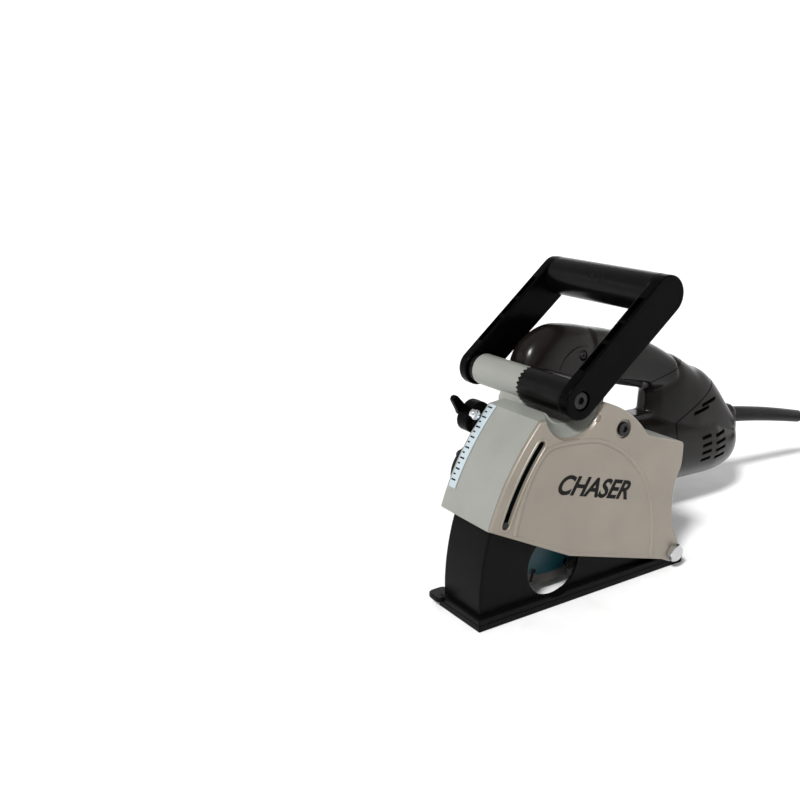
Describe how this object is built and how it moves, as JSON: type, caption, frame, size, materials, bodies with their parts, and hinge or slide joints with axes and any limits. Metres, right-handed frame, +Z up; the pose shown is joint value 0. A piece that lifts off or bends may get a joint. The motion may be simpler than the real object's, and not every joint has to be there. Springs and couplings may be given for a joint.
{
  "type": "wall chaser",
  "caption": "Corded wall chaser: twin diamond wheels in a cast case on a sprung plunging base, with a rear D-handle, a tilting front grip and a depth stop.",
  "frame": {"origin": "bottom centre of the tool's bounding box, at the sole, without the free cord, its coil and the plug", "axes": "+X runs rearward to the cord, +Y to the tool's right, the motor's side, +Z up; the tool stands on its base, which is fully open"},
  "size_m": [0.6825, 0.1369, 0.2435],
  "materials": {
    "silver_casting": "satin silver paint on cast aluminium",
    "black_casting": "satin black paint on cast aluminium",
    "black_steel": "satin black paint on sheet steel",
    "dark_plastic": "fine matte moulding",
    "black_plastic": "satin moulding",
    "black_rubber": "matte",
    "steel": "zinc plated or ground",
    "bright_steel": "bright plated",
    "dark_steel": "blackened",
    "lamination": "varnished laminations",
    "commutator_metal": "turned copper bars",
    "carbon": "carbon block",
    "teal_paint": "satin teal paint",
    "white_plate": "white label film"
  },
  "bodies": {
    "tool": {"blade_case": "silver_casting", "case_cover": "silver_casting", "cover_bolt": "dark_steel", "hinge_bolt": "steel", "hinge_nut": "steel", "return_spring": "steel", "depth_scale": "white_plate", "dust_nozzle": "dark_plastic", "gear_housing": "black_casting", "bearing_box": "silver_casting", "spindle_bearing": "steel", "needle_bearing": "steel", "bearing_retainer": "silver_casting", "front_bearing": "steel", "rear_bearing": "steel", "field_stator": "lamination", "motor_housing": "dark_plastic", "brush_left": "carbon", "brush_cap_left": "dark_plastic", "brush_right": "carbon", "brush_cap_right": "dark_plastic", "handle_left": "dark_plastic", "handle_right": "dark_plastic", "rear_cover": "dark_plastic", "switch_unit": "black_plastic", "grip_bolt": "dark_steel", "grip_nut": "steel", "cord_guard": "black_rubber", "cord": "black_rubber", "cord_coil": "black_rubber", "plug": "black_rubber"},
    "base": {"base": "black_steel", "guide_pin": "steel"},
    "spindle": {"spindle": "steel", "inner_flange": "steel", "wheel_spacer": "steel", "lock_nut": "dark_steel", "wheel_left": "teal_paint", "wheel_right": "teal_paint", "crown_gear": "steel"},
    "armature": {"armature_shaft": "steel", "pinion": "steel", "motor_fan": "dark_plastic", "armature_core": "lamination", "commutator": "commutator_metal"},
    "front_grip": {"grip_near_leg": "black_casting", "grip_far_leg": "black_casting", "grip_bar": "black_plastic", "grip_sleeve": "black_plastic", "grip_bush": "black_plastic"},
    "depth_stop": {"depth_stop": "black_casting", "stop_bolt": "bright_steel"},
    "stop_lever": {"stop_lever": "black_casting"},
    "trigger": {"trigger": "black_plastic"},
    "lock_off_button": {"lock_off_button": "dark_plastic"},
    "shaft_lock_button": {"shaft_lock_button": "dark_plastic"}
  },
  "joints": [
    {"name": "base_hinge", "type": "hinge", "parent": "tool", "child": "base", "pos_m": [-0.04267, -0.03155, 0.015], "axis": [0, 1, 0], "range_deg": [0, 19.3], "stiffness_Nm_per_rad": 6, "springref_deg": -57.3, "deforming": ["return_spring"]},
    {"name": "spindle_spin", "type": "hinge", "parent": "tool", "child": "spindle", "pos_m": [-0.14977, 0, 0.071], "axis": [0, 1, 0], "continuous": true},
    {"name": "armature_spin", "type": "hinge", "parent": "tool", "child": "armature", "pos_m": [-0.14977, 0.03095, 0.071], "axis": [0.9994, 0, -0.0349], "continuous": true},
    {"name": "front_grip_tilt", "type": "hinge", "parent": "tool", "child": "front_grip", "pos_m": [-0.15157, -0.00205, 0.1614], "axis": [0, 1, 0], "range_deg": [-75, 5]},
    {"name": "depth_stop_slide", "type": "hinge", "parent": "tool", "child": "depth_stop", "pos_m": [-0.04267, 0.00395, 0.015], "axis": [0, 1, 0], "range_deg": [-16.5, 0.6]},
    {"name": "stop_lever_turn", "type": "hinge", "parent": "depth_stop", "child": "stop_lever", "pos_m": [-0.19878, 0.01325, 0.14414], "axis": [0, 1, 0], "range_deg": [0, 60]},
    {"name": "trigger_pull", "type": "hinge", "parent": "tool", "child": "trigger", "pos_m": [0.00365, 0.03095, 0.13769], "axis": [0, 1, 0], "range_deg": [0, 6], "stiffness_Nm_per_rad": 2, "springref_deg": -5.73},
    {"name": "lock_off_press", "type": "slide", "parent": "tool", "child": "lock_off_button", "axis": [0, 1, 0], "range_m": [0, 0.003], "stiffness_N_per_m": 400, "springref_m": -0.002},
    {"name": "shaft_lock_press", "type": "slide", "parent": "tool", "child": "shaft_lock_button", "axis": [0.9994, 0, -0.0349], "range_m": [0, 0.0035], "stiffness_N_per_m": 500, "springref_m": -0.002}
  ],
  "couplings": [
    {"joint": "armature_spin", "follows": "spindle_spin", "ratio": 3.3636}
  ]
}
